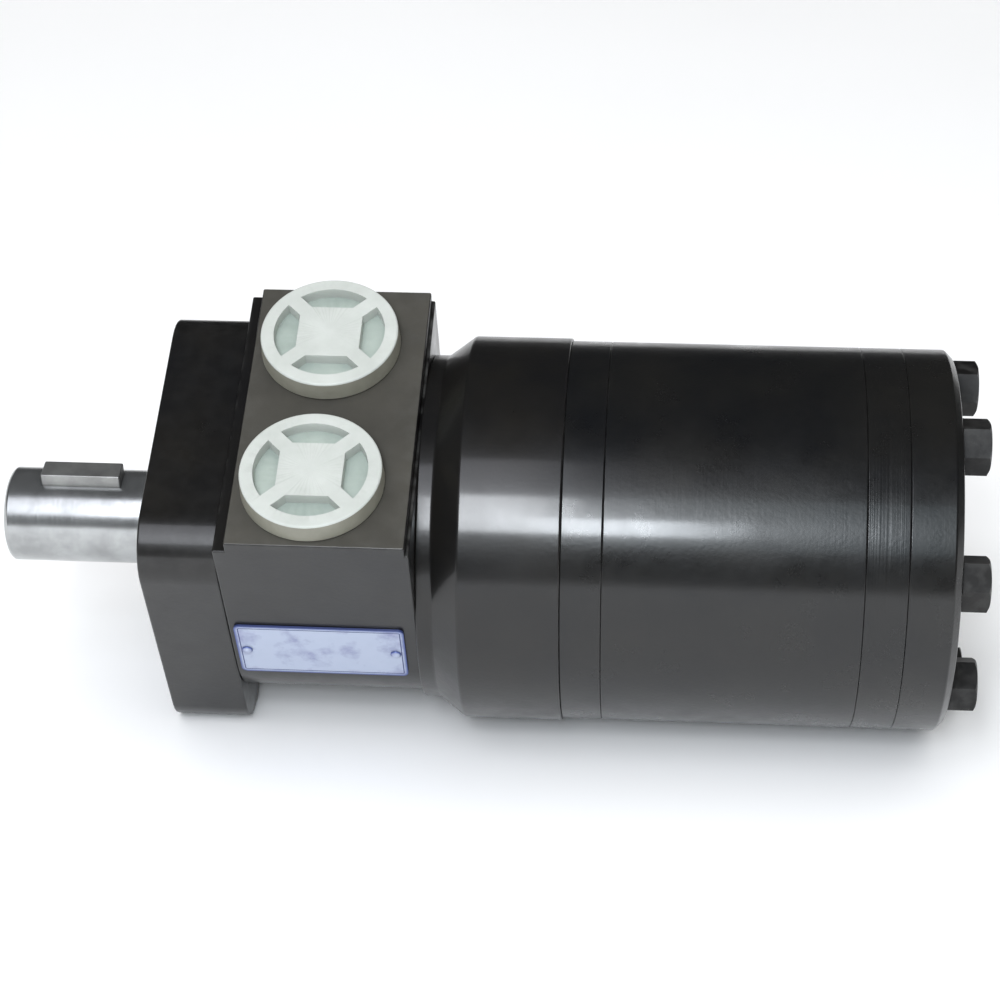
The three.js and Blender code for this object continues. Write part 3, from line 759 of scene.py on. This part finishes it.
def housing():
    """The block under the port pad and the round barrel behind it, with every bore and drilling."""
    front, rear = THICKNESS - 1, HOUSING_REAR + 1
    casting = prism(block_outline(PAD_TOP), THICKNESS, BLOCK_REAR)
    steps = [block((front, -50, 44), (23.6, 50, 50)), block((68.6, -50, 44), (71, 50, 50))]
    bevelled(cut(casting, steps), 0.8)
    barrel = bevelled(turned([
        (66, 0), (66, 34), (69.45, 34), (69.45, 46), (73.5, 46), (80.5, BARREL), (HOUSING_REAR, BARREL),
        (HOUSING_REAR, 0)]), 0.45, angle=28)
    combined(casting, [barrel], "UNION")
    bore = turned([
        (front, 0), (front, 23.4), (25.6, 23.4), (25.6, SPOOL_BORE), (rear, SPOOL_BORE), (rear, 0)])
    windows = around(BOLTS, 0, lambda: block((45, -2, 20), (50, 2, FEED_CIRCLE)))
    screw_holes = around(SCREW_COUNT, SCREW_CIRCLE, lambda: rod(SCREW_HOLE, front, 33, SMALL), start=TURN / 8)
    drillings = bolt_holes(85, rear) + feed_holes(45, rear) + screw_holes
    drillings += [port(side) for side in (-1, 1)] + [check_bore(side) for side in (-1, 1)]
    cut(casting, bore, drillings, windows, seal_groove(HOUSING_REAR - SEAL_DEPTH, rear))
    casting.data.materials.append(black_paint)
    casting.data.materials.append(pad_paint)
    for face in casting.data.polygons:
        if face.normal.z > 0.9 and face.center.z > PAD_TOP - 0.1 and face.center.x < 69:
            face.material_index = 1
    show(casting, "housing_casting", black_paint, "motor_body", "black_paint", "housing")


def port_plug():
    """A shipping plug along +X from its outer face, with four pockets between its ribs."""
    body = turned([
        (0, 0), (0, 17.9), (PLUG_HEAD, 18.3), (PLUG_HEAD, 10.2), (19.3, 10.2), (19.3, 0)])
    body = bevelled(body, 0.55, angle=50)
    pockets = rod(14.5, -1, 3.2, FINE)
    boss = block((-2, -8.2, -8.2), (4, 8.2, 8.2))
    ribs = [moved(block((-2, -20, -2), (4, 20, 2)), roll=side * TURN / 8) for side in (-1, 1)]
    cut(pockets, boss, ribs[0], ribs[1])
    body = bevelled(cut(body, pockets), 0.45, angle=50)
    for material in (pale_plastic, plastic_recess_painted_shade, plastic_side_painted_shade):
        body.data.materials.append(material)
    for face in body.data.polygons:
        # Side walls get the darker beige copy of the plastic: painted shade.
        if face.center.yz.length > 17.5 and abs(face.normal.x) < 0.3:
            face.material_index = 2
        # Pocket floors get the darker copy of the plastic: painted shade in the recesses.
        elif face.normal.x < -0.9 and face.center.x > 3:
            face.material_index = 1
    return body


def place_plug(letter, side):
    plug = stood(port_plug(), PORT_X, side * PORT_Y, PAD_TOP + PLUG_GAP + PLUG_HEAD, turn=TURN / 4)
    show(plug, f"plastic_plug_{letter}", pale_plastic, "motor_body", "pale_plastic", f"port_plug_{letter}")


def check_valve(letter, side):
    """A socket-head screw plug and the ball behind it."""
    body = bevelled(rod(3.4, 21, 27.2, SMALL), 0.3)
    cut(body, turned([(20, 0), (20, 2.2), (21.4, 1.8), (24, 1.8), (24, 0)], 6))
    show(moved(body, y=side * CHECK_Y), f"check_screw_{letter}", bolt_finish, "motor_body", "black_fastener",
         f"check_plug_{letter}")
    bpy.ops.mesh.primitive_uv_sphere_add(segments=SMALL, ring_count=16, radius=2.6, location=(0, 0, 0))
    ball = moved(bpy.context.object, x=29.9, y=side * CHECK_Y)
    show(ball, f"ball_{letter}", hard_steel, f"check_ball_{letter}", "hard_steel", f"check_ball_{letter}",
         sharp=180)


def side_plate():
    """The blank nameplate, its border line and its two drive pins, on the -Y side."""
    outward = Matrix.Rotation(-TURN / 4, 4, "Z")
    front, rear, bottom, top, corner = 21.8, 66, -9, 12, 1.5
    centres = [(rear - corner, top - corner), (front + corner, top - corner),
               (front + corner, bottom + corner), (rear - corner, bottom + corner)]
    outline = [point for quarter, centre in enumerate(centres)
               for point in arc(centre, corner, 90 * quarter, 90 * quarter + 90)]
    plate = prism(outline, FLANGE_HALF + 0.15, FLANGE_HALF + 0.75)
    for material in (plate_finish, plate_edge):
        plate.data.materials.append(material)
    shape = bmesh.new()
    shape.from_mesh(plate.data)
    shape.faces.ensure_lookup_table()
    for face in shape.faces:
        face.material_index = 0 if abs(face.normal.x) > 0.9 else 1
    broad = [face for face in shape.faces if len(face.verts) > 4]
    outer = max(broad, key=lambda face: face.calc_center_median().x)
    bmesh.ops.inset_region(shape, faces=[outer], thickness=0.9)
    line = bmesh.ops.inset_region(shape, faces=[outer], thickness=0.3)
    for face in line["faces"]:
        face.material_index = 1
    shape.to_mesh(plate.data)
    shape.free()
    show(placed(plate, outward), "blank_plate", plate_finish, "motor_body", "plate_metal", "nameplate")
    for index, place in enumerate((front + 2.6, rear - 2.6), 1):
        pin = turned([(0, 0), (0, 1.4), (0.25, 1.38), (0.5, 1.05), (0.65, 0.55), (0.7, 0)], SMALL)
        pin = placed(pin, outward @ Matrix.Translation((FLANGE_HALF + 0.9, place, (bottom + top) / 2)))
        show(pin, f"drive_pin_{index}", plate_finish, "motor_body", "plate_metal", f"nameplate_pin_{index}",
             sharp=60)


# ---------------------------------------------------------------- gear set, rear plates and bolts
def disc(front, rear):
    """A round plate of the body, with softened rims."""
    return bevelled(turned([(front, 0), (front, BODY), (rear, BODY), (rear, 0)]), 0.35)


def spacer_plate():
    front, rear = HOUSING_REAR - 1, RING_FRONT + 1
    plate = cut(disc(HOUSING_REAR, RING_FRONT), rod(SPACER_BORE, front, rear),
                bolt_holes(front, rear) + feed_holes(front, rear))
    show(plate, "spacer_disc", turned_paint, "motor_body", "black_paint", "spacer_plate")


def geroler_ring():
    """The ring with seven pockets for its rollers and a seal groove in each face."""
    front, rear = RING_FRONT - 1, RING_REAR + 1
    pockets = around(BOLTS, ROLLER_CIRCLE, lambda: rod(ROLLER_POCKET, front, rear), start=TURN / (2 * BOLTS))
    grooves = [seal_groove(front, RING_FRONT + SEAL_DEPTH), seal_groove(RING_REAR - SEAL_DEPTH, rear)]
    ring = cut(disc(RING_FRONT, RING_REAR), rod(RING_BORE, front, rear, ROUND), pockets,
               bolt_holes(front, rear), grooves)
    show(ring, "roller_ring", turned_paint, "motor_body", "black_paint", "geroler_ring")


def ring_rollers():
    front, rear = RING_FRONT + SIDE_PLAY, RING_REAR - SIDE_PLAY
    rollers = around(BOLTS, ROLLER_CIRCLE, lambda: rod(ROLLER, front, rear, FINE, 0.4),
                     start=TURN / (2 * BOLTS))
    for index, roller in enumerate(rollers, 1):
        node = f"roller_{index}"
        show(roller, f"ring_{node}", hard_steel, node, "hard_steel", node)


def waved(angle, depth):
    """A point of the rollers' circle with seven waves of a depth laid over it."""
    return Vector((ROLLER_CIRCLE * math.cos(angle) + depth * math.cos(BOLTS * angle),
                   ROLLER_CIRCLE * math.sin(angle) + depth * math.sin(BOLTS * angle)))


def star_outline(steps=360):
    """The star's lobes, inside the path of a roller's centre by the roller's radius and a little play."""
    outline = []
    for step in range(steps):
        angle = TURN * step / steps
        normal = waved(angle, BOLTS * ORBIT).normalized()
        point = waved(angle, ORBIT) - normal * (ROLLER + 0.15)
        outline.append((-point.y, point.x))
    return outline


def star():
    """The six-lobed star and the stop in its bore, off the shaft's axis by the orbit's radius."""
    front, rear = RING_FRONT + SIDE_PLAY, RING_REAR - SIDE_PLAY
    gear = bevelled(prism(star_outline(), front, rear), 0.3, angle=60)
    cut(gear, rod(SPLINE_RELIEF, front - 1, 156), prism(BORE_SPLINE, 155, rear + 1))
    show(moved(gear, z=ORBIT), "star_gear", hard_steel, "star", "hard_steel", "star")
    stop = bevelled(rod(10.9, 175.2, rear), 0.3)
    show(moved(stop, z=ORBIT), "drive_stop", spacer_iron, "orbit_centre", "spacer_iron", "drive_spacer")


def drive_shaft():
    """The splined link, which leans from the shaft's axis to the star's."""
    length = math.hypot(DRIVE_LENGTH, ORBIT)
    spine = turned([(-8, 0), (-8, 7.4), (-6, 9.4), (length + 6, 9.4), (length + 8, 7.4), (length + 8, 0)])
    for place in (0, length):
        combined(spine, [prism(DRIVE_SPLINE, place - 6, place + 6)], "UNION")
    lean = Matrix.Translation((DRIVE_FRONT, 0, 0)) @ Matrix.Rotation(-math.asin(ORBIT / length), 4, "Y")
    link = placed(bevelled(spine, 0.15, 2, 50), lean)
    show(link, "drive_link", hard_steel, "drive", "hard_steel", "drive_shaft")


def wear_plate():
    plate = cut(disc(RING_REAR, CAP_FRONT), bolt_holes(RING_REAR - 1, CAP_FRONT + 1))
    show(plate, "wear_disc", rear_paint, "motor_body", "black_paint", "wear_plate")


def end_cap():
    cap = bevelled(turned([
        (CAP_FRONT, 0), (CAP_FRONT, BODY), (CAP_REAR - 2, BODY), (CAP_REAR, BODY - 2), (CAP_REAR, 0)]), 0.35)
    groove = seal_groove(CAP_FRONT - 1, CAP_FRONT + SEAL_DEPTH)
    cut(cap, bolt_holes(CAP_FRONT - 1, CAP_REAR + 1) + [groove])
    show(cap, "cap_disc", turned_paint, "motor_body", "black_paint", "end_cap")


def end_bolt():
    """A bolt whose hexagon head has its corners chamfered at both ends."""
    head = turned([(CAP_REAR, 0), (CAP_REAR, 7.33), (CAP_REAR + 7.4, 7.33), (CAP_REAR + 7.4, 0)], 6)
    crown = turned([
        (CAP_REAR - 1, 0), (CAP_REAR - 1, 6.6), (CAP_REAR, 6.6), (CAP_REAR + 0.4, 7.6),
        (CAP_REAR + 6.6, 7.6), (CAP_REAR + 7.4, 6.2), (CAP_REAR + 8, 6.0), (CAP_REAR + 8, 0)], FINE)
    combined(head, [crown], "INTERSECT")
    return combined(head, [rod(3.97, 86, CAP_REAR + 1, SMALL)], "UNION")


def end_bolts():
    for index, bolt in enumerate(around(BOLTS, BOLT_CIRCLE, end_bolt), 1):
        show(bolt, f"through_bolt_{index}", bolt_finish, "motor_body", "black_fastener",
             f"end_bolt_{index}")


def body_seals():
    """The rings in the grooves of the housing, both faces of the geroler ring, and the end cap."""
    fronts = {"housing_seal": HOUSING_REAR - SEAL_THICKNESS, "ring_front_seal": RING_FRONT,
              "ring_rear_seal": RING_REAR - SEAL_THICKNESS, "end_cap_seal": CAP_FRONT}
    for name, front in fronts.items():
        ring = washer(46.4, 48.2, front, front + SEAL_THICKNESS, 0.35)
        show(ring, name + "_ring", seal_rubber, "motor_body", "seal_rubber", name)


# ---------------------------------------------------------------- the scene
add_camera()
add_floor()
add_studio()
output_shaft()
shaft_key()
mounting_flange()
flange_screws()
shaft_seals()
thrust_bearing()
housing()
for letter, side in (("a", -1), ("b", 1)):
    place_plug(letter, side)
    check_valve(letter, side)
side_plate()
spacer_plate()
geroler_ring()
ring_rollers()
star()
drive_shaft()
wear_plate()
end_cap()
end_bolts()
body_seals()

bpy.context.view_layer.update()
